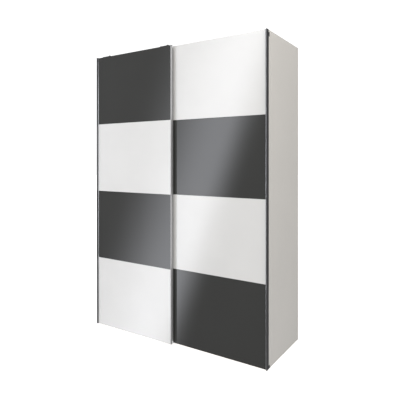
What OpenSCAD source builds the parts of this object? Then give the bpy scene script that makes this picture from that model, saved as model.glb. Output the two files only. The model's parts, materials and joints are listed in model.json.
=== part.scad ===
// Free-standing wardrobe with two sliding doors. Each door is faced with four
// glass panes, dark and white in turn, and hangs on four small wheels.
// X is the width, -Y the front and Z up, with the origin on the floor under the middle.

/* [Carcass] */
// Width over the two side panels
carcass_w = 1480; // [1200:10:2000]
// Height of the side panels' top edge above the floor
carcass_h = 2160; // [1800:10:2400]
// Depth of the side panels
carcass_d = 524; // [420:2:650]
// Thickness of every carcass board
board_t = 16; // [15:1:22]
// Thickness of the two back panels
back_t = 3; // [3:1:5]
// Distance from the side panels' rear edge to the back panels' rear face
back_inset = 2; // [2:1:10]
// Height of the bottom panel's underside above the floor
plinth_h = 60; // [50:1:120]
// Thickness of the nail-on floor glides
glide_t = 3; // [2:1:6]
// Diameter of the floor glides
glide_d = 24; // [16:1:36]

/* [Interior] */
// Clear height above the hat shelves
hat_space = 300; // [220:10:400]
// Distance from the hat shelf down to the centre of the clothes rail
rail_drop = 60; // [45:5:100]
// Outside diameter of the clothes rail
rail_d = 25; // [20:1:32]
// Wall of the clothes rail tube
rail_wall = 1.5; // [1:0.1:2.5]
// Set-back of the partition and shelves behind the side panels' front edge
inner_setback = 34; // [32:1:60]

/* [Doors] */
// How far the closed doors stand out past each side panel
door_overhang = 5; // [1:1:10]
// Width by which the front door covers the rear door
door_overlap = 8; // [6:1:60]
// Gap between the doors' lower edge and the floor
door_floor_gap = 9; // [8:0.5:14]
// Distance from the doors' upper edge up to the side panels' top edge
door_top_gap = 5; // [4:0.5:12]
// Thickness of the door's backing board
door_board_t = 16; // [14:1:22]
// Thickness of the glass panes
glass_t = 4; // [3:0.5:6]
// Number of panes, one above the other
pane_count = 4; // [2:1:6]
// Open joint between two panes
pane_joint = 0.6; // [0.4:0.1:2]
// Gap between the rear door's back and the side panels' front edge
rear_gap = 3; // [2.6:0.1:6]
// Gap between the rear door's grip and the front door's back as they pass
lane_gap = 2.5; // [2:0.5:8]
// Distance from an open door's outer edge to the middle of the wardrobe
open_reserve = 45; // [30:5:120]

/* [Stiles] */
// Wall of the aluminium edge profiles
stile_wall = 2; // [1.5:0.1:3]
// Width of the grip profile's front lip
grip_w = 12; // [8:0.5:20]
// How far the grip profile stands out in front of the glass
grip_out = 12.5; // [6:0.5:20]
// Thickness of the plastic end caps on the profiles
stile_cap_t = 2; // [1:0.5:2.5]

/* [Running gear] */
// Diameter of the door wheels
wheel_d = 17; // [14:0.5:18]
// Width of the door wheels
wheel_w = 7; // [5:0.5:8]
// Diameter of the axle pins
axle_d = 5; // [4:0.5:6]
// Radial clearance of the wheels on their axle pins
axle_play = 0.05; // [0.02:0.01:0.1]
// Gap between a wheel and the lane below it
lane_play = 0.4; // [0.3:0.1:0.6]
// Width of one hanger plate
hanger_w = 76; // [66:1:100]
// Distance from a door's edge to its hanger plates
hanger_inset = 40; // [38:1:80]
// Distance between the two wheels of one hanger
wheel_pitch = 48; // [40:1:60]
// Thickness of the sheet steel in hangers and guide brackets
steel_t = 3; // [2.5:0.1:3.5]
// Height of the door track's channel
track_h = 28; // [28:1:40]
// Depth of the door track, front to back
track_d = 18; // [18:0.5:26]
// Wall of the track and the floor rail
track_wall = 2; // [1.5:0.1:2]
// Distance from the side panels' top edge down to the track's channel
track_drop = 15; // [15:0.5:20]

/* [Floor rail] */
// Height of the floor rail's body
floor_rail_h = 16; // [14:1:17]
// Width of each guide slot in the floor rail
slot_w = 6; // [5.8:0.1:7]
// Diameter of the guide pegs
peg_d = 5.2; // [4.6:0.1:5.2]

/* [Hidden] */
$fn = 48;
cut = 1; // how far a cutting shape runs past the face it cuts

// Places along Y are measured from the side panels' front edge, positive to the back.
leaf_t = door_board_t + glass_t;
lane_pitch = leaf_t + grip_out + lane_gap;
rear_glass_y = -(rear_gap + leaf_t);
front_glass_y = rear_glass_y - lane_pitch;
total_depth = carcass_d - front_glass_y + grip_out;
carcass_front_y = total_depth / 2 - carcass_d;

inner_x = carcass_w / 2 - board_t;
inner_w = 2 * inner_x;
back_face_y = carcass_d - back_inset;
board_back_y = back_face_y - back_t;
top_under_z = carcass_h - board_t;
bottom_top_z = plinth_h + board_t;
shelf_z = top_under_z - hat_space - board_t;
rail_z = shelf_z - rail_drop;

track_top_z = carcass_h - track_drop;
track_low_z = track_top_z - track_h;
track_front_y = 2;
track_back_y = track_front_y + track_d;
lane_lip_h = 3;
lane_rib_w = 1;
lane_rib_h = 1.5;
wheel_gap_y = 3;
wheel_back_y = track_back_y - track_wall - wheel_gap_y;
wheel_front_y = wheel_back_y - wheel_w;
wheel_r = wheel_d / 2;
upper_axle_z = track_top_z + lane_play + wheel_r;
lower_axle_z = track_low_z + track_wall + lane_play + wheel_r;
axle_head_t = 1.2;
axle_head_d = axle_d + 3;
axle_end_gap = 0.3;

doors_w = carcass_w + 2 * door_overhang;
door_w = (doors_w + door_overlap) / 2;
door_travel = doors_w / 2 - open_reserve;
door_low_z = door_floor_gap;
door_top_z = carcass_h - door_top_gap;
door_h = door_top_z - door_low_z;
pane_pitch = door_h / pane_count;
tongue_t = 2;
tongue_l = 8;
tongue_play = 0.1;
lip_t = 1.5;
flush_lip = 0.8;

axle_to_plate_low = 43;
axle_to_screws = [33, 17];
hanger_low_z = lower_axle_z - axle_to_plate_low;
arm_t = steel_t + 1;
arm_low_z = carcass_h;
arm_plate_y = 3;
drop_low_z = track_top_z + 3;
adjuster_d = 16;
adjuster_h = 5;
adjuster_shank_d = 6;
door_screw_d = 4;
door_screw_l = 12;
door_screw_head_d = 7.5;
door_screw_head_t = 2.2;
plate_y = leaf_t - steel_t;

floor_rail_low_z = 6;
floor_rail_top_z = floor_rail_low_z + floor_rail_h;
floor_rail_front_y = 3;
front_slot_y = floor_rail_front_y + track_wall + slot_w / 2;
rear_slot_y = front_slot_y + slot_w + 3;
floor_rail_back_y = rear_slot_y + slot_w / 2 + 2 * track_wall;
floor_flange_z = floor_rail_top_z + 12;
guide_w = 40;
guide_inset = 58;
guide_plate_h = 60;
guide_foot_t = 2.5;
guide_foot_z = 2.5;
guide_tab_z = floor_rail_top_z + 2;
peg_floor_gap = 2;

fit_front_y = 90;
fit_rear_y = carcass_d - 84;
fit_ys = [fit_front_y, fit_rear_y];
dowel_ys = [fit_front_y + 32, fit_rear_y - 32];
cam_d = 15;
cam_t = 12.5;
cam_inset = 24;
cam_play = 0.1;
cam_bolt_d = 6;
cam_bolt_in = 11;
dowel_d = 8;
dowel_l = 34;
dowel_in = 11;
dowel_play = 0.05;
pin_d = 5;
pin_in = 7;
pin_out = 9;
pin_ys = [inner_setback + 46, board_back_y - 46];
flange_d = 36;
flange_t = 3;
cup_l = 14;
cup_wall = 2;
rail_y = (inner_setback + board_back_y) / 2;
rail_play = 0.1;
rail_screw_d = 3.5;
rail_screw_head_d = 6.6;
rail_screw_l = 16;
rail_screw_count = 6;
back_screw_d = 3;
back_screw_l = 14;
back_screw_head_d = 6;
back_screw_head_t = 1.2;
back_screws_per_panel = 3;
back_side_gap = 1;
strip_lap = 2; // how far each flange reaches past the partition's faces
strip_w = board_t + 2 * strip_lap;
strip_wall = 1;
strip_web = 2;
end_cap_gap = 0.5;
stop_l = 20;
stop_gap = 0.5;
stop_h = 12;

dark_glass = [0.27, 0.27, 0.27];
white_glass = [0.95, 0.96, 0.96];
decor_white = [0.85, 0.84, 0.82];
alu = [0.66, 0.66, 0.67];
steel = [0.6, 0.6, 0.62];
dark_steel = [0.24, 0.24, 0.25];
dark_plastic = [0.22, 0.22, 0.23];
zinc = [0.72, 0.72, 0.74];
nylon = [0.9, 0.9, 0.88];
wood_tone = [0.8, 0.66, 0.45];

// ---- helpers -------------------------------------------------------------

// Puts a carcass part, drawn from the side panels' front edge, into the frame.
module in_carcass() {
  translate([0, carcass_front_y, 0]) children();
}

// A door is drawn with its outer edge at X = 0 and its glass face at Y = 0.
module in_left_door() {
  translate([-doors_w / 2, carcass_front_y + front_glass_y, 0]) children();
}

module in_right_door() {
  translate([doors_w / 2, carcass_front_y + rear_glass_y, 0]) mirror([1, 0, 0]) children();
}

module block(low, high) {
  translate(low) cube(high - low);
}

// A cylinder along +Y from y0 to y1.
module rod_y(x, z, y0, y1, d) {
  translate([x, y0, z]) rotate([-90, 0, 0]) cylinder(d = d, h = y1 - y0);
}

// A cylinder along +X from x0 to x1.
module rod_x(y, z, x0, x1, d) {
  translate([x0, y, z]) rotate([0, 90, 0]) cylinder(d = d, h = x1 - x0);
}

module both_sides() {
  children();
  mirror([1, 0, 0]) children();
}

// ---- carcass boards ------------------------------------------------------

// Right side panel: notched for the track's and the floor rail's end caps.
module side_panel() {
  color(decor_white) in_carcass() difference() {
    block([inner_x, 0, glide_t], [inner_x + board_t, carcass_d, carcass_h]);
    block([inner_x - cut, -cut, track_low_z],
      [inner_x + board_t + cut, track_back_y, track_top_z]);
    block([inner_x - cut, -cut, glide_t - cut],
      [inner_x + board_t + cut, floor_rail_back_y, floor_rail_top_z + track_wall]);
    board_end_bores(inner_x, cam_bolt_in, dowel_in);
    for (y = pin_ys) {
      rod_x(y, shelf_z - pin_d / 2, inner_x - cut, inner_x + pin_in, pin_d);
    }
    block([inner_x - cut, board_back_y, plinth_h - cut],
      [inner_x + board_t / 2, back_face_y, carcass_h + cut]);
  }
}

// The holes that take cam bolts and dowels where a board's end meets a side panel.
module board_end_bores(x, bolt_depth, dowel_depth) {
  for (z = [plinth_h + board_t / 2, carcass_h - board_t / 2]) {
    for (y = fit_ys) {
      rod_x(y, z, x - cut, x + bolt_depth, cam_bolt_d);
    }
    for (y = dowel_ys) {
      rod_x(y, z, x - cut, x + dowel_depth, dowel_d);
    }
  }
}

module left_side_panel() {
  mirror([1, 0, 0]) side_panel();
}

module right_side_panel() {
  side_panel();
}

module middle_partition() {
  color(decor_white) in_carcass() difference() {
    block([-board_t / 2, inner_setback, bottom_top_z],
      [board_t / 2, board_back_y - strip_wall, top_under_z]);
    both_sides() for (y = pin_ys) {
      rod_x(y, shelf_z - pin_d / 2, board_t / 2 - pin_in, board_t / 2 + cut, pin_d);
    }
    for (y = dowel_ys) {
      translate([0, y, bottom_top_z - cut])
        cylinder(d = dowel_d, h = dowel_l - dowel_in + cut);
      translate([0, y, top_under_z - (dowel_l - dowel_in)])
        cylinder(d = dowel_d, h = dowel_l);
    }
  }
}

// A long horizontal board between the side panels. Its hidden face, up or down,
// carries the cam pockets; the partition's dowels enter the other face.
module long_board(z0, front_y, cams_up) {
  hidden_z = cams_up ? z0 + board_t : z0;
  shown_z = cams_up ? z0 : z0 + board_t;
  screw_z = z0 + board_t / 2;
  difference() {
    block([-inner_x, front_y, z0], [inner_x, board_back_y, z0 + board_t]);
    both_sides() {
      for (y = fit_ys) {
        translate([inner_x - cam_inset, y, cams_up ? hidden_z - cam_t : hidden_z - cut])
          cylinder(d = cam_d, h = cam_t + cut);
        rod_x(y, screw_z, inner_x - cam_inset, inner_x + cut, dowel_d);
      }
      for (y = dowel_ys) {
        rod_x(y, screw_z, inner_x - (dowel_l - dowel_in), inner_x + cut, dowel_d);
      }
    }
    for (y = dowel_ys) {
      translate([0, y, cams_up ? shown_z - cut : shown_z - dowel_in])
        cylinder(d = dowel_d, h = dowel_in + cut);
    }
    for (x = back_screw_xs) {
      rod_y(x, screw_z, board_back_y - back_screw_l, board_back_y + cut, back_screw_d);
    }
  }
}

module top_panel() {
  color(decor_white) in_carcass() difference() {
    long_board(top_under_z, track_back_y, true);
    for (x = rail_screw_xs) {
      rod_y(x, track_screw_z, track_back_y - cut, track_back_y + rail_screw_l, rail_screw_d);
    }
  }
}

module bottom_panel() {
  color(decor_white) in_carcass() long_board(plinth_h, inner_setback, false);
}

module front_plinth() {
  color(decor_white) in_carcass() difference() {
    block([-inner_x, floor_rail_back_y, glide_t],
      [inner_x, floor_rail_back_y + board_t, plinth_h]);
    for (x = rail_screw_xs) {
      rod_y(x, floor_screw_z, floor_rail_back_y - cut, floor_rail_back_y + rail_screw_l - cut,
        rail_screw_d);
    }
  }
}

module rear_plinth() {
  color(decor_white) in_carcass()
    block([-inner_x, board_back_y - board_t, glide_t], [inner_x, board_back_y, plinth_h]);
}

// Holds up the bottom panel under the partition.
module plinth_cross_rail() {
  color(decor_white) in_carcass()
    block([-board_t / 2, floor_rail_back_y + board_t, glide_t],
      [board_t / 2, board_back_y - board_t, plinth_h]);
}

// The right half of the back, let into the side panel's rebate.
module back_half() {
  color(decor_white) in_carcass() difference() {
    block([strip_web / 2, board_back_y, plinth_h],
      [inner_x + board_t / 2 - back_side_gap, back_face_y, carcass_h]);
    for (x = back_screw_xs, z = [plinth_h, top_under_z]) {
      rod_y(x, z + board_t / 2, board_back_y - cut, back_face_y + cut, back_screw_d);
    }
  }
}

module left_back_panel() {
  mirror([1, 0, 0]) back_half();
}

module right_back_panel() {
  back_half();
}

// An H-section that joins the two back panels behind the partition.
module back_joint_strip() {
  low_z = bottom_top_z;
  high_z = top_under_z;
  color(nylon) in_carcass() {
    block([-strip_web / 2, board_back_y, low_z], [strip_web / 2, back_face_y, high_z]);
    block([-strip_w / 2, board_back_y - strip_wall, low_z],
      [strip_w / 2, board_back_y, high_z]);
    block([-strip_w / 2, back_face_y, low_z], [strip_w / 2, back_face_y + strip_wall, high_z]);
  }
}

// ---- interior ------------------------------------------------------------

module hat_shelf() {
  side_play = 0.5;
  color(decor_white) in_carcass()
    block([board_t / 2 + side_play, inner_setback, shelf_z],
      [inner_x - side_play, board_back_y - strip_wall, shelf_z + board_t]);
}

module left_hat_shelf() {
  mirror([1, 0, 0]) hat_shelf();
}

module right_hat_shelf() {
  hat_shelf();
}

module clothes_rail() {
  color(steel) in_carcass() difference() {
    rod_x(rail_y, rail_z, board_t / 2 + flange_t, inner_x - flange_t, rail_d);
    rod_x(rail_y, rail_z, board_t / 2, inner_x, rail_d - 2 * rail_wall);
  }
}

module left_clothes_rail() {
  mirror([1, 0, 0]) clothes_rail();
}

module right_clothes_rail() {
  clothes_rail();
}

// A round plate with a cup that holds one end of the rail.
module rail_flange() {
  cup_d = rail_d + 2 * rail_play;
  difference() {
    union() {
      cylinder(d = flange_d + rail_d / 2, h = flange_t);
      cylinder(d = cup_d + 2 * cup_wall, h = cup_l);
    }
    translate([0, 0, flange_t]) cylinder(d = cup_d, h = cup_l);
  }
}

module clothes_rail_flanges() {
  color(zinc) in_carcass() both_sides() {
    translate([board_t / 2, rail_y, rail_z]) rotate([0, 90, 0]) rail_flange();
    translate([inner_x, rail_y, rail_z]) rotate([0, -90, 0]) rail_flange();
  }
}

module shelf_pins() {
  pin_z = shelf_z - pin_d / 2;
  color(zinc) in_carcass() both_sides() for (y = pin_ys) {
    rod_x(y, pin_z, inner_x - pin_out, inner_x + pin_in, pin_d);
    rod_x(y, pin_z, board_t / 2 - pin_in, board_t / 2 + pin_out, pin_d);
  }
}

// ---- fittings ------------------------------------------------------------

module cam_locks() {
  slot_d = 5;
  slot_depth = 1.5;
  color(zinc) in_carcass() both_sides() for (y = fit_ys) {
    for (top = [false, true]) {
      z0 = top ? carcass_h - cam_t : plinth_h;
      slot_z = top ? carcass_h - slot_depth : plinth_h - cut;
      difference() {
        translate([inner_x - cam_inset, y, z0]) cylinder(d = cam_d - 2 * cam_play, h = cam_t);
        translate([inner_x - cam_inset, y, slot_z])
          cylinder(d = slot_d, h = slot_depth + cut);
      }
    }
  }
}

module cam_bolts() {
  color(steel) in_carcass() both_sides() {
    for (y = fit_ys, z = [plinth_h + board_t / 2, carcass_h - board_t / 2]) {
      rod_x(y, z, inner_x - cam_inset + cam_d / 2, inner_x + cam_bolt_in,
        cam_bolt_d - 2 * cam_play);
    }
  }
}

module wood_dowels() {
  d = dowel_d - 2 * dowel_play;
  color(wood_tone) in_carcass() {
    both_sides() for (y = dowel_ys, z = [plinth_h + board_t / 2, carcass_h - board_t / 2]) {
      rod_x(y, z, inner_x + dowel_in - dowel_l, inner_x + dowel_in, d);
    }
    for (y = dowel_ys) {
      translate([0, y, bottom_top_z - dowel_in]) cylinder(d = d, h = dowel_l);
      translate([0, y, top_under_z - (dowel_l - dowel_in)]) cylinder(d = d, h = dowel_l);
    }
  }
}

back_screw_reach = inner_x - strip_w;
back_screw_half_xs = [
  for (i = [1 : back_screws_per_panel]) strip_w / 2
    + back_screw_reach * (i - 0.5) / back_screws_per_panel
];
back_screw_xs = concat(back_screw_half_xs, -back_screw_half_xs);

module back_panel_screws() {
  color(zinc) in_carcass() for (x = back_screw_xs, z = [plinth_h, top_under_z]) {
    screw_z = z + board_t / 2;
    rod_y(x, screw_z, board_back_y - back_screw_l + cut, back_face_y + back_screw_head_t,
      back_screw_d - 2 * dowel_play);
    rod_y(x, screw_z, back_face_y, back_face_y + back_screw_head_t, back_screw_head_d);
  }
}

glide_ys = [floor_rail_back_y + board_t / 2, carcass_d / 2, board_back_y - board_t / 2];

module floor_glides() {
  color(dark_plastic) in_carcass() {
    both_sides() for (y = glide_ys) {
      translate([inner_x + board_t / 2 - (glide_d - board_t) / 2, y, 0])
        cylinder(d = glide_d, h = glide_t);
    }
    for (y = [glide_ys[0], glide_ys[2]]) {
      translate([0, y, 0]) cylinder(d = glide_d, h = glide_t);
    }
  }
}

// ---- tracks --------------------------------------------------------------

track_screw_z = track_top_z + track_drop / 2;
floor_screw_z = floor_rail_top_z + (floor_flange_z - floor_rail_top_z) / 2;
rail_screw_xs = [
  for (i = [0 : rail_screw_count - 1])
    inner_w * ((i + 0.5) / rail_screw_count - 0.5)
];

// Two lanes one above the other: the front door's wheels run on top of the
// channel and the rear door's wheels run inside it.
module door_track() {
  color(alu) in_carcass() difference() {
    translate([-inner_x, 0, 0]) rotate([90, 0, 90]) linear_extrude(inner_w) track_section();
    for (x = rail_screw_xs) {
      screw_sink(x, track_screw_z, track_back_y);
    }
  }
}

module track_section() {
  rib_front = wheel_front_y - 0.6 - lane_rib_w;
  translate([track_front_y, track_top_z - track_wall]) square([track_d, track_wall]);
  translate([track_front_y, track_low_z]) square([track_d, track_wall]);
  translate([track_front_y, track_low_z]) square([track_wall, track_wall + lane_lip_h]);
  translate([track_back_y - track_wall, track_low_z]) square([track_wall, carcass_h - track_low_z]);
  translate([rib_front, track_top_z - track_wall])
    square([lane_rib_w, track_wall + lane_rib_h]);
}

// The countersunk hole of one screw through a wall that ends at y_wall.
module screw_sink(x, z, y_wall) {
  rod_y(x, z, y_wall - track_wall - cut, y_wall + cut, rail_screw_d);
  translate([x, y_wall - track_wall, z]) rotate([-90, 0, 0])
    cylinder(d1 = rail_screw_head_d, d2 = rail_screw_d, h = track_wall - 0.2);
}

// Two guide slots: the front one is open above, the rear one is open below.
module floor_rail() {
  color(alu) in_carcass() difference() {
    translate([-inner_x, 0, 0]) rotate([90, 0, 90]) linear_extrude(inner_w)
      floor_rail_section();
    for (x = rail_screw_xs) {
      screw_sink(x, floor_screw_z, floor_rail_back_y);
    }
  }
}

module floor_rail_section() {
  difference() {
    union() {
      translate([floor_rail_front_y, floor_rail_low_z])
        square([floor_rail_back_y - floor_rail_front_y, floor_rail_h]);
      translate([floor_rail_back_y - track_wall, floor_rail_low_z])
        square([track_wall, floor_flange_z - floor_rail_low_z]);
    }
    translate([front_slot_y - slot_w / 2, floor_rail_low_z + track_wall])
      square([slot_w, floor_rail_h]);
    translate([rear_slot_y - slot_w / 2, floor_rail_low_z - cut])
      square([slot_w, floor_rail_h - track_wall + cut]);
  }
}

// Plastic plugs that close the side panels' notches at the ends of both rails.
module rail_end_caps() {
  color(dark_plastic) in_carcass() both_sides() {
    block([inner_x, end_cap_gap, track_low_z], [inner_x + board_t, track_back_y, track_top_z]);
    block([inner_x, end_cap_gap, glide_t],
      [inner_x + board_t, floor_rail_back_y, floor_rail_top_z + track_wall]);
  }
}

// One countersunk screw whose head is flush with a wall that ends at y_wall.
module rail_screw(x, z, y_wall) {
  shank_d = rail_screw_d - 2 * dowel_play;
  rod_y(x, z, y_wall - track_wall + 0.5, y_wall + rail_screw_l - 2 * cut, shank_d);
  translate([x, y_wall - track_wall, z]) rotate([-90, 0, 0])
    cylinder(d1 = rail_screw_head_d - 2 * dowel_play, d2 = shank_d, h = track_wall - 0.2);
}

module rail_screws() {
  color(zinc) in_carcass() for (x = rail_screw_xs) {
    rail_screw(x, track_screw_z, track_back_y);
    rail_screw(x, floor_screw_z, floor_rail_back_y);
  }
}

// Distance from a door's edge to the near side of its first wheel.
wheel_edge = hanger_inset + (hanger_w - wheel_pitch) / 2 - wheel_r;

// Rubber blocks that stop the end wheels: two in each lane.
module door_stops() {
  closed_x = doors_w / 2 - wheel_edge + stop_gap;
  open_x = doors_w / 2 - door_w + wheel_edge - door_travel - stop_gap;
  upper_z = track_top_z;
  lower_z = track_low_z + track_wall;
  stop_back_y = track_back_y - track_wall;
  color(dark_plastic) in_carcass() {
    // rear door, lower lane
    block([closed_x, wheel_front_y, lower_z], [closed_x + stop_l, stop_back_y, lower_z + stop_h]);
    block([open_x - stop_l, wheel_front_y, lower_z], [open_x, stop_back_y, lower_z + stop_h]);
    // front door, upper lane
    block([-closed_x - stop_l, wheel_front_y, upper_z],
      [-closed_x, stop_back_y, upper_z + stop_h]);
    block([-open_x, wheel_front_y, upper_z], [-open_x + stop_l, stop_back_y, upper_z + stop_h]);
  }
}

// ---- door leaves ---------------------------------------------------------

hanger_screw_edge = 12;
hanger_us = [hanger_inset, door_w - hanger_inset - hanger_w];
guide_us = [guide_inset, door_w - guide_inset - guide_w];
hanger_screw_dx = hanger_w / 2 - hanger_screw_edge;
hanger_screw_zs = [for (drop = axle_to_screws) lower_axle_z - drop];
guide_screw_rises = [20, 42];
guide_screw_zs = [for (rise = guide_screw_rises) guide_tab_z + rise];

// The backing board: grooved for the stiles, with pockets in its back for the
// hanger plates and guide brackets, and drilled for their screws.
module door_board(guide_plate_low_z) {
  groove_y = glass_t + door_board_t / 2;
  difference() {
    block([stile_wall, glass_t, door_low_z], [door_w - stile_wall, leaf_t, door_top_z]);
    for (u = [stile_wall - cut, door_w - stile_wall - tongue_l - tongue_play]) {
      block([u, groove_y - tongue_t / 2 - tongue_play, door_low_z - cut],
        [u + tongue_l + tongue_play + cut, groove_y + tongue_t / 2 + tongue_play,
          door_top_z + cut]);
    }
    for (u = hanger_us) {
      block([u, plate_y, hanger_low_z],
        [u + hanger_w, leaf_t + cut, door_top_z + cut]);
    }
    for (u = guide_us) {
      block([u, plate_y, guide_plate_low_z],
        [u + guide_w, leaf_t + cut, guide_tab_z + guide_plate_h]);
    }
    door_screw_places()
      rod_y(0, 0, leaf_t - door_screw_l, leaf_t + cut, door_screw_d);
  }
}

// Repeats its child at each screw through the hanger plates and guide brackets.
module door_screw_places() {
  for (u = hanger_us, s = [-1, 1], z = hanger_screw_zs) {
    translate([u + hanger_w / 2 + s * hanger_screw_dx, 0, z]) children();
  }
  for (u = guide_us, z = guide_screw_zs) {
    translate([u + guide_w / 2, 0, z]) children();
  }
}

module left_door_board() {
  color(decor_white) in_left_door() door_board(door_low_z - cut);
}

module right_door_board() {
  color(decor_white) in_right_door() door_board(guide_tab_z);
}

// Pane i, counted from the top.
module pane(i) {
  low = door_top_z - i * pane_pitch + (i == pane_count ? 0 : pane_joint / 2);
  high = door_top_z - (i - 1) * pane_pitch - (i == 1 ? 0 : pane_joint / 2);
  block([stile_wall, 0, low], [door_w - stile_wall, glass_t, high]);
}

module left_door_pane_1() {
  color(dark_glass) in_left_door() pane(1);
}

module left_door_pane_2() {
  color(white_glass) in_left_door() pane(2);
}

module left_door_pane_3() {
  color(dark_glass) in_left_door() pane(3);
}

module left_door_pane_4() {
  color(white_glass) in_left_door() pane(4);
}

module right_door_pane_1() {
  color(white_glass) in_right_door() pane(1);
}

module right_door_pane_2() {
  color(dark_glass) in_right_door() pane(2);
}

module right_door_pane_3() {
  color(white_glass) in_right_door() pane(3);
}

module right_door_pane_4() {
  color(dark_glass) in_right_door() pane(4);
}

// Section of the outer edge's grip profile: an edge wall with a tongue, a lip over
// the glass and a cove between the lip and the wall's raised front.
module grip_section() {
  cove_r = min(grip_w - stile_wall, grip_out - lip_t);
  cove_x = stile_wall + cove_r;
  stile_wall_and_tongue(grip_out);
  translate([0, -lip_t]) square([grip_w, lip_t]);
  difference() {
    translate([stile_wall, -lip_t - cove_r]) square([cove_r, cove_r]);
    translate([cove_x, -lip_t - cove_r]) circle(r = cove_r);
  }
}

module stile_wall_and_tongue(front) {
  tongue_y = glass_t + door_board_t / 2 - tongue_t / 2;
  translate([0, -front]) square([stile_wall, front + leaf_t]);
  translate([0, tongue_y]) square([stile_wall + tongue_l, tongue_t]);
}

module grip_stile() {
  color(alu) translate([0, 0, door_low_z]) linear_extrude(door_h) grip_section();
}

module plain_stile() {
  color(alu) translate([door_w, 0, door_low_z]) mirror([1, 0, 0])
    linear_extrude(door_h) stile_wall_and_tongue(flush_lip);
}

module left_door_grip_stile() {
  in_left_door() grip_stile();
}

module right_door_grip_stile() {
  in_right_door() grip_stile();
}

module left_door_plain_stile() {
  in_left_door() plain_stile();
}

module right_door_plain_stile() {
  in_right_door() plain_stile();
}

// Plastic caps on both ends of both edge profiles.
module end_caps() {
  color(dark_plastic) for (z = [door_low_z - stile_cap_t, door_top_z]) {
    translate([0, 0, z]) linear_extrude(stile_cap_t) difference() {
      grip_section();
      translate([stile_wall, 0]) square([grip_w, leaf_t]);
    }
    translate([door_w - stile_wall, -flush_lip, z])
      cube([stile_wall, leaf_t + flush_lip, stile_cap_t]);
  }
}

module left_door_end_caps() {
  in_left_door() end_caps();
}

module right_door_end_caps() {
  in_right_door() end_caps();
}

// ---- running gear --------------------------------------------------------

// Y and Z of the carcass in the doors' own frames.
front_leaf_y = -front_glass_y;
rear_leaf_y = -rear_glass_y;

// Front door: a plate on the back, an arm over the rear door and a plate that
// drops in front of the upper lane.
module left_door_hangers() {
  arm_back_y = front_leaf_y + arm_plate_y + steel_t;
  color(dark_steel) in_left_door() difference() {
    for (u = hanger_us) {
      block([u, plate_y, hanger_low_z],
        [u + hanger_w, leaf_t, arm_low_z + arm_t]);
      block([u, plate_y, arm_low_z], [u + hanger_w, arm_back_y, arm_low_z + arm_t]);
      block([u, arm_back_y - steel_t, drop_low_z],
        [u + hanger_w, arm_back_y, arm_low_z + arm_t]);
    }
    for (u = wheel_us) {
      rod_y(u, upper_axle_z, arm_back_y - steel_t - cut, arm_back_y + cut, axle_d);
    }
    for (u = hanger_us) {
      translate([u + adjuster_u, adjuster_y, arm_low_z - cut])
        cylinder(d = adjuster_shank_d, h = arm_t + 2 * cut);
    }
    plate_screw_holes();
  }
}

// The countersunk holes for the door screws in plates flush with the leaf's back.
module plate_screw_holes() {
  door_screw_places() {
    rod_y(0, 0, plate_y - cut, leaf_t + cut, door_screw_d);
    translate([0, leaf_t - door_screw_head_t, 0]) rotate([-90, 0, 0])
      cylinder(d1 = door_screw_d, d2 = door_screw_head_d, h = door_screw_head_t);
  }
}

adjuster_u = hanger_w - adjuster_d / 2 - 3;
adjuster_y = leaf_t + adjuster_d / 2 + 1;
adjuster_below = 0.5;

// Round-headed screws that set the front door's height, one on each arm.
module left_door_adjusters() {
  slot_w_head = 1.6;
  color(dark_steel) in_left_door() for (u = hanger_us) {
    translate([u + adjuster_u, adjuster_y, 0]) difference() {
      union() {
        translate([0, 0, arm_low_z - adjuster_below])
          cylinder(d = adjuster_shank_d - 2 * dowel_play, h = arm_t + adjuster_below);
        translate([0, 0, arm_low_z + arm_t]) cylinder(d = adjuster_d, h = adjuster_h);
      }
      translate([-adjuster_d, -slot_w_head / 2, arm_low_z + arm_t + adjuster_h - 2])
        cube([2 * adjuster_d, slot_w_head, 2 + cut]);
    }
  }
}

// Rear door: flat plates let into the leaf's back, in front of the lower lane.
module right_door_hangers() {
  color(dark_steel) in_right_door() difference() {
    for (u = hanger_us) {
      block([u, plate_y, hanger_low_z], [u + hanger_w, leaf_t, door_top_z]);
    }
    for (u = wheel_us) {
      rod_y(u, lower_axle_z, plate_y - cut, leaf_t + cut, axle_d);
    }
    plate_screw_holes();
  }
}

wheel_us = [
  for (u = hanger_us, s = [-1, 1]) u + hanger_w / 2 + s * wheel_pitch / 2
];

// Axle pins with a head behind each wheel, riveted into the hanger plates.
module axle_pins(pin_y, leaf_y, z) {
  for (u = wheel_us) {
    rod_y(u, z, pin_y, leaf_y + wheel_back_y + axle_end_gap, axle_d);
    rod_y(u, z, leaf_y + wheel_back_y + axle_end_gap,
      leaf_y + wheel_back_y + axle_end_gap + axle_head_t, axle_head_d);
  }
}

module left_door_axle_pins() {
  color(zinc) in_left_door() axle_pins(front_leaf_y + arm_plate_y, front_leaf_y, upper_axle_z);
}

module right_door_axle_pins() {
  color(zinc) in_right_door() axle_pins(plate_y, rear_leaf_y, lower_axle_z);
}

// A nylon wheel with a slightly dished face, around the axle pin.
module wheel(i, leaf_y, z) {
  dish_d = wheel_d - 5;
  dish_depth = 0.8;
  hub_d = axle_d + 3;
  color(nylon) translate([wheel_us[i - 1], leaf_y + wheel_front_y, z]) rotate([-90, 0, 0])
    difference() {
      cylinder(d = wheel_d, h = wheel_w);
      translate([0, 0, -cut]) cylinder(d = axle_d + 2 * axle_play, h = wheel_w + 2 * cut);
      translate([0, 0, -cut]) difference() {
        cylinder(d = dish_d, h = dish_depth + cut);
        cylinder(d = hub_d, h = dish_depth + cut);
      }
    }
}

module left_wheel(i) {
  in_left_door() wheel(i, front_leaf_y, upper_axle_z);
}

module right_wheel(i) {
  in_right_door() wheel(i, rear_leaf_y, lower_axle_z);
}

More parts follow.
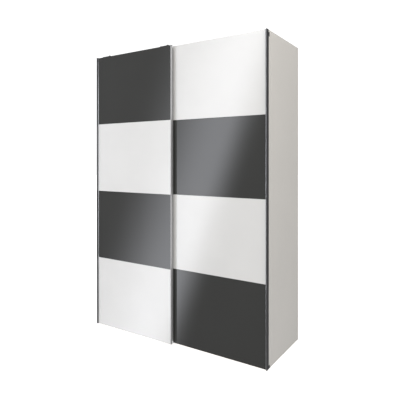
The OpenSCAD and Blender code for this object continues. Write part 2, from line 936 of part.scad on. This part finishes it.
// Front door: a plate on the back, a foot under the rear door and a peg that
// stands up in the floor rail's rear slot.
module left_door_guide_brackets() {
  foot_back_y = front_leaf_y + rear_slot_y + peg_d / 2;
  peg_top_z = floor_rail_top_z - track_wall - peg_floor_gap;
  color(dark_steel) in_left_door() difference() {
    union() for (u = guide_us) {
      block([u, plate_y, guide_foot_z], [u + guide_w, leaf_t, guide_tab_z + guide_plate_h]);
      block([u, plate_y, guide_foot_z], [u + guide_w, foot_back_y, guide_foot_z + guide_foot_t]);
      translate([u + guide_w / 2, front_leaf_y + rear_slot_y, guide_foot_z])
        cylinder(d = peg_d, h = peg_top_z - guide_foot_z);
    }
    plate_screw_holes();
  }
}

// Rear door: a plate let into the back, a tab over the floor rail and a peg that
// hangs down in the rail's front slot.
module right_door_guide_brackets() {
  tab_back_y = rear_leaf_y + front_slot_y + peg_d / 2;
  peg_low_z = floor_rail_low_z + track_wall + peg_floor_gap;
  color(dark_steel) in_right_door() difference() {
    union() for (u = guide_us) {
      block([u, plate_y, guide_tab_z], [u + guide_w, leaf_t, guide_tab_z + guide_plate_h]);
      block([u, plate_y, guide_tab_z], [u + guide_w, tab_back_y, guide_tab_z + guide_foot_t]);
      translate([u + guide_w / 2, rear_leaf_y + front_slot_y, peg_low_z])
        cylinder(d = peg_d, h = guide_tab_z - peg_low_z + guide_foot_t);
    }
    plate_screw_holes();
  }
}

// Countersunk screws, flush with the plates.
module door_screws() {
  shank_d = door_screw_d - 2 * dowel_play;
  color(zinc) door_screw_places() {
    rod_y(0, 0, leaf_t - door_screw_l + cut, leaf_t - 0.5, shank_d);
    translate([0, leaf_t - door_screw_head_t, 0]) rotate([-90, 0, 0])
      cylinder(d1 = shank_d, d2 = door_screw_head_d - 2 * dowel_play, h = door_screw_head_t);
  }
}

module left_door_screws() {
  in_left_door() door_screws();
}

module right_door_screws() {
  in_right_door() door_screws();
}

left_side_panel();
right_side_panel();
middle_partition();
top_panel();
bottom_panel();
front_plinth();
rear_plinth();
plinth_cross_rail();
left_back_panel();
right_back_panel();
back_joint_strip();
left_hat_shelf();
right_hat_shelf();
left_clothes_rail();
right_clothes_rail();
clothes_rail_flanges();
shelf_pins();
cam_locks();
cam_bolts();
wood_dowels();
back_panel_screws();
floor_glides();
door_track();
floor_rail();
rail_end_caps();
rail_screws();
door_stops();
left_door_board();
left_door_pane_1();
left_door_pane_2();
left_door_pane_3();
left_door_pane_4();
left_door_grip_stile();
left_door_plain_stile();
left_door_end_caps();
left_door_hangers();
left_door_adjusters();
left_door_axle_pins();
left_door_guide_brackets();
left_door_screws();
right_door_board();
right_door_pane_1();
right_door_pane_2();
right_door_pane_3();
right_door_pane_4();
right_door_grip_stile();
right_door_plain_stile();
right_door_end_caps();
right_door_hangers();
right_door_axle_pins();
right_door_guide_brackets();
right_door_screws();
left_wheel(1);  // left_door_wheel_1
left_wheel(2);  // left_door_wheel_2
left_wheel(3);  // left_door_wheel_3
left_wheel(4);  // left_door_wheel_4
right_wheel(1);  // right_door_wheel_1
right_wheel(2);  // right_door_wheel_2
right_wheel(3);  // right_door_wheel_3
right_wheel(4);  // right_door_wheel_4
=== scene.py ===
import json
import math

import bmesh
import bpy
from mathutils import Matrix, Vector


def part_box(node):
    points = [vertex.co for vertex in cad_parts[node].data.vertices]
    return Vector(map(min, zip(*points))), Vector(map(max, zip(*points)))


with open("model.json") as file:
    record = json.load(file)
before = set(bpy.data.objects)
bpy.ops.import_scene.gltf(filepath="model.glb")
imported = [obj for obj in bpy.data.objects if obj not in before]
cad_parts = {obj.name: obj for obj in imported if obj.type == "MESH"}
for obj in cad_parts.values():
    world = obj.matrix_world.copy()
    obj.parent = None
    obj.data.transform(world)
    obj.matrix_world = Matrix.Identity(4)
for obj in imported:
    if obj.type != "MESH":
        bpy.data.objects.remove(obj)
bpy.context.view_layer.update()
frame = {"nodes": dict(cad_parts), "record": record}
nodes = frame["nodes"]
scene = bpy.context.scene


# ---- shader helpers --------------------------------------------------------


class Shader:
    """One material, with short calls for the nodes that its patterns need."""

    def __init__(self, name):
        self.material = bpy.data.materials.new(name)
        self.material.use_nodes = True
        self.tree = self.material.node_tree
        self.surface = self.tree.nodes["Principled BSDF"]
        self.place = self.node("ShaderNodeTexCoord").outputs["Object"]

    def node(self, kind, **settings):
        made = self.tree.nodes.new(kind)
        for key, value in settings.items():
            setattr(made, key, value)
        return made

    def feed(self, socket, value):
        if isinstance(value, bpy.types.NodeSocket):
            self.tree.links.new(value, socket)
        elif isinstance(value, tuple) and len(value) == 3 and socket.type == "RGBA":
            socket.default_value = (*value, 1.0)
        else:
            socket.default_value = value

    def set(self, **values):
        """Sets the surface's own sockets, with _ for a space in their names."""
        for key, value in values.items():
            self.feed(self.surface.inputs[key.replace("_", " ")], value)

    def math(self, operation, a, b=0.0):
        made = self.node("ShaderNodeMath", operation=operation)
        for socket, value in zip(made.inputs, (a, b)):
            self.feed(socket, value)
        return made.outputs[0]

    def stretch(self, scale):
        """The place on the object, scaled along each axis."""
        made = self.node("ShaderNodeMapping")
        self.feed(made.inputs["Vector"], self.place)
        made.inputs["Scale"].default_value = scale
        return made.outputs[0]

    def noise(self, scale, detail=3.0, rough=0.55, distortion=0.0, place=None):
        made = self.node("ShaderNodeTexNoise")
        self.feed(made.inputs["Vector"], place or self.place)
        self.feed(made.inputs["Scale"], scale)
        self.feed(made.inputs["Detail"], detail)
        self.feed(made.inputs["Roughness"], rough)
        self.feed(made.inputs["Distortion"], distortion)
        return made.outputs["Fac"]

    def cells(self, scale):
        made = self.node("ShaderNodeTexVoronoi")
        self.feed(made.inputs["Vector"], self.place)
        self.feed(made.inputs["Scale"], scale)
        return made.outputs["Distance"]

    def ramp(self, value, low, high, to_low=0.0, to_high=1.0):
        """A soft step from to_low to to_high, while value goes from low to high."""
        made = self.node("ShaderNodeMapRange", interpolation_type="SMOOTHSTEP")
        for key, number in (
            ("Value", value),
            ("From Min", low),
            ("From Max", high),
            ("To Min", to_low),
            ("To Max", to_high),
        ):
            self.feed(made.inputs[key], number)
        return made.outputs["Result"]

    def mix(self, share, a, b):
        made = self.node("ShaderNodeMix", data_type="RGBA")
        self.feed(made.inputs["Factor"], share)
        self.feed(made.inputs["A"], a)
        self.feed(made.inputs["B"], b)
        return made.outputs["Result"]

    def axis(self, letter, source=None):
        """One coordinate of the place on the object, or of another vector."""
        made = self.node("ShaderNodeSeparateXYZ")
        self.feed(made.inputs[0], source or self.place)
        return made.outputs[letter]

    def facing(self, letter):
        """The surface's own direction along one axis, from -1 to 1."""
        made = self.node("ShaderNodeTexCoord")
        return self.axis(letter, made.outputs["Normal"])

    def bump(self, *heights):
        """Adds (height, strength, distance) patterns, the coarse ones first."""
        normal = None
        for height, strength, distance in heights:
            made = self.node("ShaderNodeBump")
            self.feed(made.inputs["Height"], height)
            self.feed(made.inputs["Strength"], strength)
            self.feed(made.inputs["Distance"], distance)
            if normal is not None:
                self.feed(made.inputs["Normal"], normal)
            normal = made.outputs[0]
        self.feed(self.surface.inputs["Normal"], normal)


def shade(colour, factor):
    return tuple(part * factor for part in colour)


# ---- materials -------------------------------------------------------------

# A board lower than this lies flat, and its underside is finished like its top
LYING_BOARD = 0.03

# Thickness of the band glued on a board's edge
EDGE_BAND = 0.001

# Waves per metre, times two pi, of the screen that the fibreboard is pressed on
SCREEN = 2600.0


def lacquered_glass(name, lacquer, edge):
    """Float glass with its colour on the back: a faint roller wave, wiped smears, green edges."""
    s = Shader(name)
    mottle = s.noise(3.0, 4.0)
    body = s.mix(s.ramp(mottle, 0.3, 0.7), shade(lacquer, 0.985), shade(lacquer, 1.015))
    fleck = s.ramp(s.noise(900.0, 2.0), 0.72, 0.8)
    body = s.mix(s.math("MULTIPLY", fleck, 0.06), body, shade(lacquer, 1.3))
    on_edge = s.ramp(s.math("ABSOLUTE", s.facing("Y")), 0.55, 0.75, 1.0, 0.0)
    ground = s.ramp(s.noise(260.0, 3.0), 0.3, 0.7, 0.85, 1.1)
    body = s.mix(on_edge, body, edge)
    smear = s.noise(7.0, 6.0, 0.62, 1.4, s.stretch((1.0, 1.0, 0.35)))
    gloss = s.ramp(smear, 0.35, 0.75, 0.022, 0.05)
    gloss = s.math("ADD", gloss, s.math("MULTIPLY", s.math("MULTIPLY", on_edge, ground), 0.16))
    s.set(Base_Color=body, Roughness=gloss, IOR=1.5, Specular_IOR_Level=0.5)
    wave = s.noise(1.6, 1.0, 0.4, 0.0, s.stretch((2.2, 1.0, 0.6)))
    s.bump((wave, 0.05, 0.01), (s.noise(400.0, 2.0), 0.02, 0.0002))
    return s.material


def decor_board(name, colour, low, high, banded_front):
    """Melamine on chipboard: fine pearl grain, a hair seam by its edge band, raw chips underneath."""
    s = Shader(name)
    cloud = s.ramp(s.noise(2.4, 3.0), 0.3, 0.7)
    body = s.mix(cloud, shade(colour, 0.985), shade(colour, 1.012))
    pearl = s.noise(1400.0, 2.0, 0.5)
    body = s.mix(s.math("MULTIPLY", s.ramp(pearl, 0.35, 0.65), 0.05), body, shade(colour, 0.82))
    y = s.axis("Y")
    z = s.axis("Z")
    seam_y = low[1] + EDGE_BAND if banded_front else high[1] - EDGE_BAND
    seam = s.ramp(s.math("ABSOLUTE", s.math("SUBTRACT", y, seam_y)), 0.00005, 0.0002, 0.35, 0.0)
    body = s.mix(seam, body, shade(colour, 0.55))
    from_front = s.math("SUBTRACT", y, low[1])
    worn = s.ramp(from_front, 0.0003, 0.0022, 1.0, 0.0)
    rubbed = s.math("MULTIPLY", worn, s.ramp(s.noise(45.0, 4.0), 0.45, 0.7))
    body = s.mix(s.math("MULTIPLY", rubbed, 0.12), body, shade(colour, 0.72))
    chips = s.cells(330.0)
    raw = s.mix(s.ramp(chips, 0.15, 0.6), (0.36, 0.25, 0.15), (0.62, 0.47, 0.3))
    upright = 1.0 if high[2] - low[2] > LYING_BOARD else 0.0
    under = s.ramp(s.facing("Z"), -0.8, -0.6, upright, 0.0)
    body = s.mix(under, body, raw)
    # Darker towards the bottom of each board, within 3 cm of its lower edge
    foot_darkening = s.math("MULTIPLY", s.ramp(s.math("SUBTRACT", z, low[2]), 0.0, 0.03, 1.0, 0.0), 0.06)
    body = s.mix(foot_darkening, body, shade(colour, 0.7))
    matt = s.ramp(s.noise(30.0, 4.0), 0.3, 0.7, 0.42, 0.52)
    s.set(Base_Color=body, Roughness=matt, IOR=1.47, Specular_IOR_Level=0.4)
    s.bump(
        (s.noise(5.0, 2.0), 0.04, 0.004),
        (pearl, 0.18, 0.00025),
        (seam, -0.3, 0.0002),
        (s.math("MULTIPLY", under, chips), 0.5, 0.0006),
    )
    return s.material


def back_foil(name, colour):
    """Fibreboard with white foil inside and its bare brown screen-pressed face behind."""
    s = Shader(name)
    behind = s.ramp(s.facing("Y"), 0.5, 0.7)
    fibres = s.noise(160.0, 6.0, 0.7, 0.6, s.stretch((1.0, 1.0, 0.25)))
    press = s.math(
        "MULTIPLY",
        s.math("SINE", s.math("MULTIPLY", s.axis("X"), SCREEN)),
        s.math("SINE", s.math("MULTIPLY", s.axis("Z"), SCREEN)),
    )
    raw = s.mix(s.ramp(fibres, 0.25, 0.75), (0.29, 0.18, 0.1), (0.37, 0.24, 0.14))
    speck = s.ramp(s.noise(420.0, 3.0, 0.6, 0.3, s.stretch((1.0, 1.0, 0.3))), 0.62, 0.75)
    raw = s.mix(s.math("MULTIPLY", speck, 0.5), raw, (0.2, 0.12, 0.07))
    raw = s.mix(s.ramp(s.noise(1.3, 4.0, 0.6), 0.35, 0.7), raw, (0.3128, 0.2024, 0.1196))
    foil = s.mix(s.ramp(s.noise(3.0, 3.0), 0.3, 0.7), shade(colour, 0.98), colour)
    body = s.mix(behind, foil, raw)
    matt = s.ramp(s.noise(50.0, 3.0), 0.3, 0.7, 0.5, 0.62)
    s.set(Base_Color=body, Roughness=s.math("ADD", matt, s.math("MULTIPLY", behind, 0.25)))
    s.bump((s.math("MULTIPLY", behind, press), 0.35, 0.0004), (fibres, 0.12, 0.0003))
    return s.material


def satin_metal(name, colour, along, matt, metallic):
    """Extruded and anodised: die lines along the bar under a soft brushed grain."""
    s = Shader(name)
    scale = {"x": (3.0, 900.0, 900.0), "z": (900.0, 900.0, 3.0)}[along]
    grain = s.noise(1.0, 4.0, 0.6, 0.0, s.stretch(scale))
    broad = s.noise(1.0, 2.0, 0.5, 0.0, s.stretch(shade(scale, 0.4)))
    body = s.mix(s.ramp(grain, 0.3, 0.7), shade(colour, 0.93), shade(colour, 1.05))
    body = s.mix(s.math("MULTIPLY", s.ramp(broad, 0.4, 0.7), 0.25), body, shade(colour, 0.75))
    rough = s.ramp(grain, 0.25, 0.75, matt - 0.05, matt + 0.07)
    s.set(Base_Color=body, Metallic=metallic, Roughness=rough)
    s.bump((broad, 0.025, 0.0004), (grain, 0.1, 0.00012))
    return s.material


def powder_coat(name, colour):
    """Baked powder: a fine orange peel with a faint painted sparkle highlight and paler rubbed spots.
    """
    s = Shader(name)
    peel = s.noise(750.0, 2.0, 0.5)
    body = s.mix(s.ramp(s.noise(25.0, 4.0), 0.3, 0.7), shade(colour, 0.85), shade(colour, 1.2))
    # Tiny specks mixed towards three times the colour: painted sparkle highlights
    sparkle_highlight = s.ramp(s.noise(2200.0, 1.0), 0.7, 0.78)
    body = s.mix(s.math("MULTIPLY", sparkle_highlight, 0.3), body, shade(colour, 3.0))
    rough = s.ramp(s.noise(60.0, 4.0), 0.3, 0.7, 0.42, 0.58)
    s.set(Base_Color=body, Roughness=rough)
    s.bump((s.noise(18.0, 2.0), 0.06, 0.001), (peel, 0.35, 0.0002))
    return s.material


def zinc_plate(name, colour):
    """Blue-passivated zinc: a cool sheen with straw patches, fine tool marks and dulled rims."""
    s = Shader(name)
    patch = s.ramp(s.noise(140.0, 3.0, 0.6, 0.8), 0.4, 0.7)
    body = s.mix(patch, (colour[0] * 0.94, colour[1] * 0.97, colour[2] * 1.04), (0.66, 0.62, 0.5))
    body = s.mix(s.ramp(s.noise(520.0, 3.0), 0.55, 0.75), body, shade(colour, 0.7))
    rough = s.ramp(s.noise(300.0, 4.0), 0.3, 0.7, 0.24, 0.42)
    s.set(Base_Color=body, Metallic=1.0, Roughness=rough)
    s.bump((s.noise(90.0, 2.0), 0.05, 0.0005), (s.noise(1500.0, 2.0), 0.14, 0.0001))
    return s.material


def chrome_plate(name, colour):
    """Polished chrome with hair scratches round the bar, where hooks slide, and a few dull smears."""
    s = Shader(name)
    rubs = s.noise(1.0, 5.0, 0.7, 0.0, s.stretch((2.0, 700.0, 700.0)))
    rings = s.noise(1.0, 3.0, 0.6, 0.0, s.stretch((420.0, 6.0, 6.0)))
    body = s.mix(s.ramp(s.noise(12.0, 3.0), 0.3, 0.7), shade(colour, 0.97), shade(colour, 1.04))
    rough = s.ramp(s.math("MAXIMUM", rubs, rings), 0.45, 0.8, 0.06, 0.2)
    s.set(Base_Color=body, Metallic=1.0, Roughness=rough)
    s.bump((rings, 0.05, 0.00008), (rubs, 0.03, 0.00006))
    return s.material


def moulded(name, colour, matt, grain_scale, soft=0.0):
    """Moulded plastic: an eroded mould grain, flow clouds and the grain a little darker towards its
    cell edges.
    """
    s = Shader(name)
    flow = s.noise(38.0, 3.0, 0.5, 1.2)
    body = s.mix(s.ramp(flow, 0.3, 0.7), shade(colour, 0.93), shade(colour, 1.06))
    grain = s.cells(grain_scale)
    # The mould grain is a little darker towards its cell edges
    body = s.mix(s.math("MULTIPLY", s.ramp(grain, 0.5, 0.9), 0.1), body, shade(colour, 0.75))
    rough = s.ramp(s.noise(120.0, 3.0), 0.3, 0.7, matt - 0.05, matt + 0.08)
    s.set(Base_Color=body, Roughness=rough)
    if soft:
        s.set(Subsurface_Weight=soft, Subsurface_Scale=0.002)
    s.bump((flow, 0.04, 0.0008), (grain, 0.2, 0.00015))
    return s.material


def rubber_block(name, colour):
    """Matt rubber with a dusty bloom and a coarse cut face."""
    s = Shader(name)
    bloom = s.ramp(s.noise(90.0, 5.0, 0.65), 0.4, 0.75)
    body = s.mix(s.math("MULTIPLY", bloom, 0.5), colour, shade(colour, 2.6))
    s.set(Base_Color=body, Roughness=s.ramp(bloom, 0.0, 1.0, 0.72, 0.88))
    s.bump((s.noise(600.0, 4.0), 0.3, 0.0003))
    return s.material


def beech_dowel(name, colour):
    """Raw beech: long grain along the dowel with short dark medullary flecks."""
    s = Shader(name)
    grain = s.noise(1.0, 5.0, 0.6, 0.0, s.stretch((18.0, 420.0, 420.0)))
    fleck = s.ramp(s.noise(1.0, 1.0, 0.5, 0.0, s.stretch((160.0, 1100.0, 1100.0))), 0.62, 0.7)
    body = s.mix(s.ramp(grain, 0.3, 0.7), shade(colour, 0.8), shade(colour, 1.12))
    body = s.mix(s.math("MULTIPLY", fleck, 0.6), body, (0.33, 0.2, 0.1))
    s.set(Base_Color=body, Roughness=s.ramp(grain, 0.3, 0.7, 0.55, 0.7))
    s.bump((grain, 0.3, 0.0002))
    return s.material


# ---- stage, lights and camera ----------------------------------------------

# Sizes of the stage, in metres
FLOOR_HALF = 36.0
FLOOR_DROP = 0.0004
BACKDROP_RADIUS = 34.0
ROOM_RADIUS = 30.0

# Where the floor's own glow rises to white, in metres from the object's middle, and where
# the mirrored floor gives way to the dim room, as shares of the room's radius
FLOOR_FADE = (1.2, 5.0)
ROOM_SKIRTING = (-0.85, -0.5)

# Brightness of what stands round the object, where 1 is white
SKY_GLOW = 0.57
BACKDROP_GLOW = 1.15
FLOOR_GLOW = 0.8
FLOOR_MIRROR = 0.9
ROOM_MIRROR = 0.14

# The light card: its width and height, its place, its lean in degrees, how far its
# right and upper edges and its left edge fade, and its brightness and colour
CARD_SIZE = (2.7, 7.0)
CARD_PLACE = (-2.25, -3.0, 0.8)
CARD_LEAN = 21.0
CARD_SOFT = 0.75
CARD_SOFT_LEFT = 1.9
CARD_GLOW = 4.3
CARD_COLOUR = (0.92, 0.94, 1.0)


def emitter(name, strength):
    """A stage surface that glows evenly."""
    material = bpy.data.materials.new(name)
    material.use_nodes = True
    tree = material.node_tree
    tree.nodes.clear()
    glow = tree.nodes.new("ShaderNodeEmission")
    glow.inputs["Strength"].default_value = strength
    out = tree.nodes.new("ShaderNodeOutputMaterial")
    tree.links.new(glow.outputs[0], out.inputs["Surface"])
    return material


def link(name, mesh):
    made = bpy.data.objects.new(name, mesh)
    scene.collection.objects.link(made)
    return made


def studio_floor():
    """A pale floor that fades into the backdrop, with a faint shadow round the object's foot: partly
    cast by the lamps, partly painted shade where the floor's own glow is dimmer near the object.
    """
    mesh = bpy.data.meshes.new("studio_floor")
    corners = [(-1.0, -1.0), (1.0, -1.0), (1.0, 1.0), (-1.0, 1.0)]
    mesh.from_pydata([(x * FLOOR_HALF, y * FLOOR_HALF, 0.0) for x, y in corners], [], [(0, 1, 2, 3)])
    floor = link("studio_floor", mesh)
    floor.location.z = -FLOOR_DROP
    s = Shader("pale_floor")
    tone = s.ramp(s.noise(1.5, 4.0), 0.3, 0.7)
    s.set(Base_Color=s.mix(tone, (0.88, 0.88, 0.88), (0.9, 0.9, 0.9)), Roughness=0.9)
    away = s.node("ShaderNodeVectorMath", operation="LENGTH")
    s.feed(away.inputs[0], s.place)
    # Painted shade: the floor's glow is lower near the object's middle, darkening the floor round its
    # foot
    glow = s.ramp(away.outputs["Value"], *FLOOR_FADE, FLOOR_GLOW, 1.0)
    s.set(Specular_IOR_Level=0.0, Emission_Color=(1.0, 1.0, 1.0), Emission_Strength=glow)
    mesh.materials.append(s.material)
    floor.visible_glossy = False
    floor.visible_diffuse = False


def studio_dome(name, radius, material, camera_only):
    """A shell round the whole studio, seen by the camera alone or in reflections alone."""
    mesh = bpy.data.meshes.new(name)
    build = bmesh.new()
    bmesh.ops.create_uvsphere(build, u_segments=48, v_segments=24, radius=radius)
    build.to_mesh(mesh)
    build.free()
    dome = link(name, mesh)
    mesh.materials.append(material)
    dome.visible_camera = camera_only
    dome.visible_glossy = not camera_only
    dome.visible_diffuse = False
    dome.visible_transmission = False
    dome.visible_shadow = False


def dim_room():
    """What reflections see: a dim room above, and the pale floor close below."""
    s = Shader("dim_room")
    height = s.math("DIVIDE", s.axis("Z"), ROOM_RADIUS)
    glow = s.ramp(height, *ROOM_SKIRTING, FLOOR_MIRROR, ROOM_MIRROR)
    s.tree.nodes.remove(s.surface)
    shine = s.node("ShaderNodeEmission")
    s.feed(shine.inputs["Strength"], glow)
    s.feed(s.tree.nodes["Material Output"].inputs["Surface"], shine.outputs[0])
    return s.material


def area_light(name, place, target, size, radiance, colour=(1.0, 1.0, 1.0)):
    """A soft rectangle that faces target, whose power follows its brightness and its size."""
    data = bpy.data.lights.new(name, "AREA")
    data.shape = "RECTANGLE"
    data.size, data.size_y = size
    data.energy = radiance * size[0] * size[1] * math.pi
    data.color = colour
    lamp = link(name, data)
    lamp.location = place
    aim = Vector(target) - Vector(place)
    lamp.rotation_euler = aim.to_track_quat("-Z", "Y").to_euler()
    lamp.visible_camera = False
    lamp.visible_glossy = False


def window_card():
    """The tall soft-edged light whose slanted image shows in the dark glass."""
    wide, tall = CARD_SIZE
    mesh = bpy.data.meshes.new("window_card")
    corners = [(-0.5, 0.0, -0.5), (0.5, 0.0, -0.5), (0.5, 0.0, 0.5), (-0.5, 0.0, 0.5)]
    mesh.from_pydata([(x * wide, y, z * tall) for x, y, z in corners], [], [(0, 1, 2, 3)])
    card = link("window_card", mesh)
    card.location = CARD_PLACE
    card.rotation_euler.y = math.radians(CARD_LEAN)
    s = Shader("window_glow")
    x = s.axis("X")
    z = s.math("ABSOLUTE", s.axis("Z"))
    left = s.ramp(x, -wide / 2, CARD_SOFT_LEFT - wide / 2)
    right = s.ramp(x, wide / 2 - CARD_SOFT, wide / 2, 1.0, 0.0)
    ends = s.ramp(z, tall / 2 - CARD_SOFT, tall / 2, 1.0, 0.0)
    share = s.math("MULTIPLY", s.math("MULTIPLY", left, right), ends)
    s.tree.nodes.remove(s.surface)
    glow = s.node("ShaderNodeEmission")
    glow.inputs["Color"].default_value = (*CARD_COLOUR, 1.0)
    s.feed(glow.inputs["Strength"], s.math("MULTIPLY", share, CARD_GLOW))
    clear = s.node("ShaderNodeBsdfTransparent")
    blend = s.node("ShaderNodeMixShader")
    s.feed(blend.inputs[0], share)
    s.feed(blend.inputs[1], clear.outputs[0])
    s.feed(blend.inputs[2], glow.outputs[0])
    s.feed(s.tree.nodes["Material Output"].inputs["Surface"], blend.outputs[0])
    mesh.materials.append(s.material)
    card.visible_camera = False
    card.visible_shadow = False


world = bpy.data.worlds.new("soft_room")
scene.world = world
world.use_nodes = True
sky = world.node_tree.nodes["Background"]
sky.inputs["Color"].default_value = (1.0, 0.995, 0.985, 1.0)
sky.inputs["Strength"].default_value = SKY_GLOW

studio_floor()
studio_dome("backdrop_dome", BACKDROP_RADIUS, emitter("backdrop", BACKDROP_GLOW), True)
studio_dome("room_dome", ROOM_RADIUS, dim_room(), False)
window_card()
area_light("overhead", (0.3, -0.6, 4.6), (0.0, 0.0, 0.0), (5.0, 5.0), 0.75)
area_light("front_fill", (2.6, -3.4, 0.3), (0.5, -0.25, 0.5), (2.0, 2.0), 2.3)
area_light("side_fill", (2.2, -0.9, 2.7), (0.74, -0.1, 1.7), (0.8, 0.8), 4.6, (1.0, 0.96, 0.88))
area_light("low_bounce", (2.6, -0.7, 0.1), (0.74, -0.1, 0.4), (2.0, 0.4), 1.6)

lens = bpy.data.cameras.new("camera")
lens.sensor_width = 36.0
lens.lens = 37.27
lens.shift_x = -0.0415
lens.shift_y = -0.1002
camera = link("camera", lens)
camera.location = (1.8503, -2.6282, 1.3314)
camera.rotation_euler = (math.radians(90.0), 0.0, math.radians(31.923))
scene.camera = camera

scene.view_settings.view_transform = "Standard"
scene.view_settings.look = "None"


# ---- finishes --------------------------------------------------------------

# Lacquers and ground edges of the glass, and the melamine's tone against the record's colour
DARK_LACQUER = (0.052, 0.052, 0.05)
DARK_EDGE = (0.02, 0.05, 0.04)
WHITE_LACQUER = (0.773, 0.765, 0.747)
WHITE_EDGE = (0.4, 0.55, 0.5)
DECOR_TONE = (0.865, 0.855, 0.84)

colours = {m["slot"]: tuple(m["base_color"][:3]) for m in frame["record"]["materials"]}
slot_of = {part["node"]: part["material_slot"] for part in frame["record"]["subparts"]}

shared = {
    "back_board": back_foil("back_board", colours["back_board"]),
    "dark_glass": lacquered_glass("dark_glass", DARK_LACQUER, DARK_EDGE),
    "white_glass": lacquered_glass("white_glass", WHITE_LACQUER, WHITE_EDGE),
    "dark_coated_steel": powder_coat("dark_coated_steel", colours["dark_coated_steel"]),
    "zinc_plated_steel": zinc_plate("zinc_plated_steel", colours["zinc_plated_steel"]),
    "chromed_tube": chrome_plate("chromed_tube", colours["chromed_tube"]),
    "nylon": moulded("nylon", colours["nylon"], 0.42, 900.0, 0.15),
    "white_plastic": moulded("white_plastic", colours["white_plastic"], 0.45, 800.0),
    "dark_plastic": moulded("dark_plastic", colours["dark_plastic"], 0.5, 700.0),
    "rubber": rubber_block("rubber", colours["rubber"]),
    "beech": beech_dowel("beech", colours["beech"]),
}
anodised = colours["satin_aluminium"]
# The grip stiles take a darkened copy of the anodised aluminium, 0.6 of its colour: painted shade
grip_metal_painted_shade = satin_metal("grip_aluminium_painted_shade", shade(anodised, 0.6), "z", 0.34, 1.0)
stile_metal = satin_metal("stile_aluminium", anodised, "z", 0.46, 0.3)
rail_metal = satin_metal("rail_aluminium", anodised, "x", 0.4, 0.7)


def finish_of(name):
    slot = slot_of[name]
    if slot == "white_decor_board":
        low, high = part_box(name)
        white = tuple(part * tone for part, tone in zip(colours[slot], DECOR_TONE))
        return decor_board(name + "_decor", white, low, high, not name.endswith("door_board"))
    if slot == "satin_aluminium":
        if name.endswith("grip_stile"):
            return grip_metal_painted_shade
        return rail_metal if name in ("door_track", "floor_rail") else stile_metal
    return shared[slot]


# Width of the rounding on each finish's sharp edges, in metres
BEVEL = {
    "white_decor_board": 0.0006,
    "back_board": 0.0004,
    "dark_glass": 0.0004,
    "white_glass": 0.0004,
    "satin_aluminium": 0.0003,
    "dark_coated_steel": 0.0003,
    "zinc_plated_steel": 0.0002,
    "chromed_tube": 0.0003,
    "nylon": 0.0003,
    "white_plastic": 0.0004,
    "dark_plastic": 0.0004,
    "rubber": 0.0005,
    "beech": 0.0003,
}


def soften(node, width):
    """A narrow bevel on the sharp edges of a CAD node, shown by modifiers alone."""
    weld = node.modifiers.new("weld", "WELD")
    weld.merge_threshold = 0.00001
    flat = node.modifiers.new("flat", "DECIMATE")
    flat.decimate_type = "DISSOLVE"
    flat.angle_limit = math.radians(0.5)
    bevel = node.modifiers.new("bevel", "BEVEL")
    bevel.limit_method = "ANGLE"
    bevel.angle_limit = math.radians(40.0)
    bevel.width = width
    bevel.segments = 2


for name, node in nodes.items():
    node.data.materials.clear()
    node.data.materials.append(finish_of(name))
    soften(node, BEVEL[slot_of[name]])
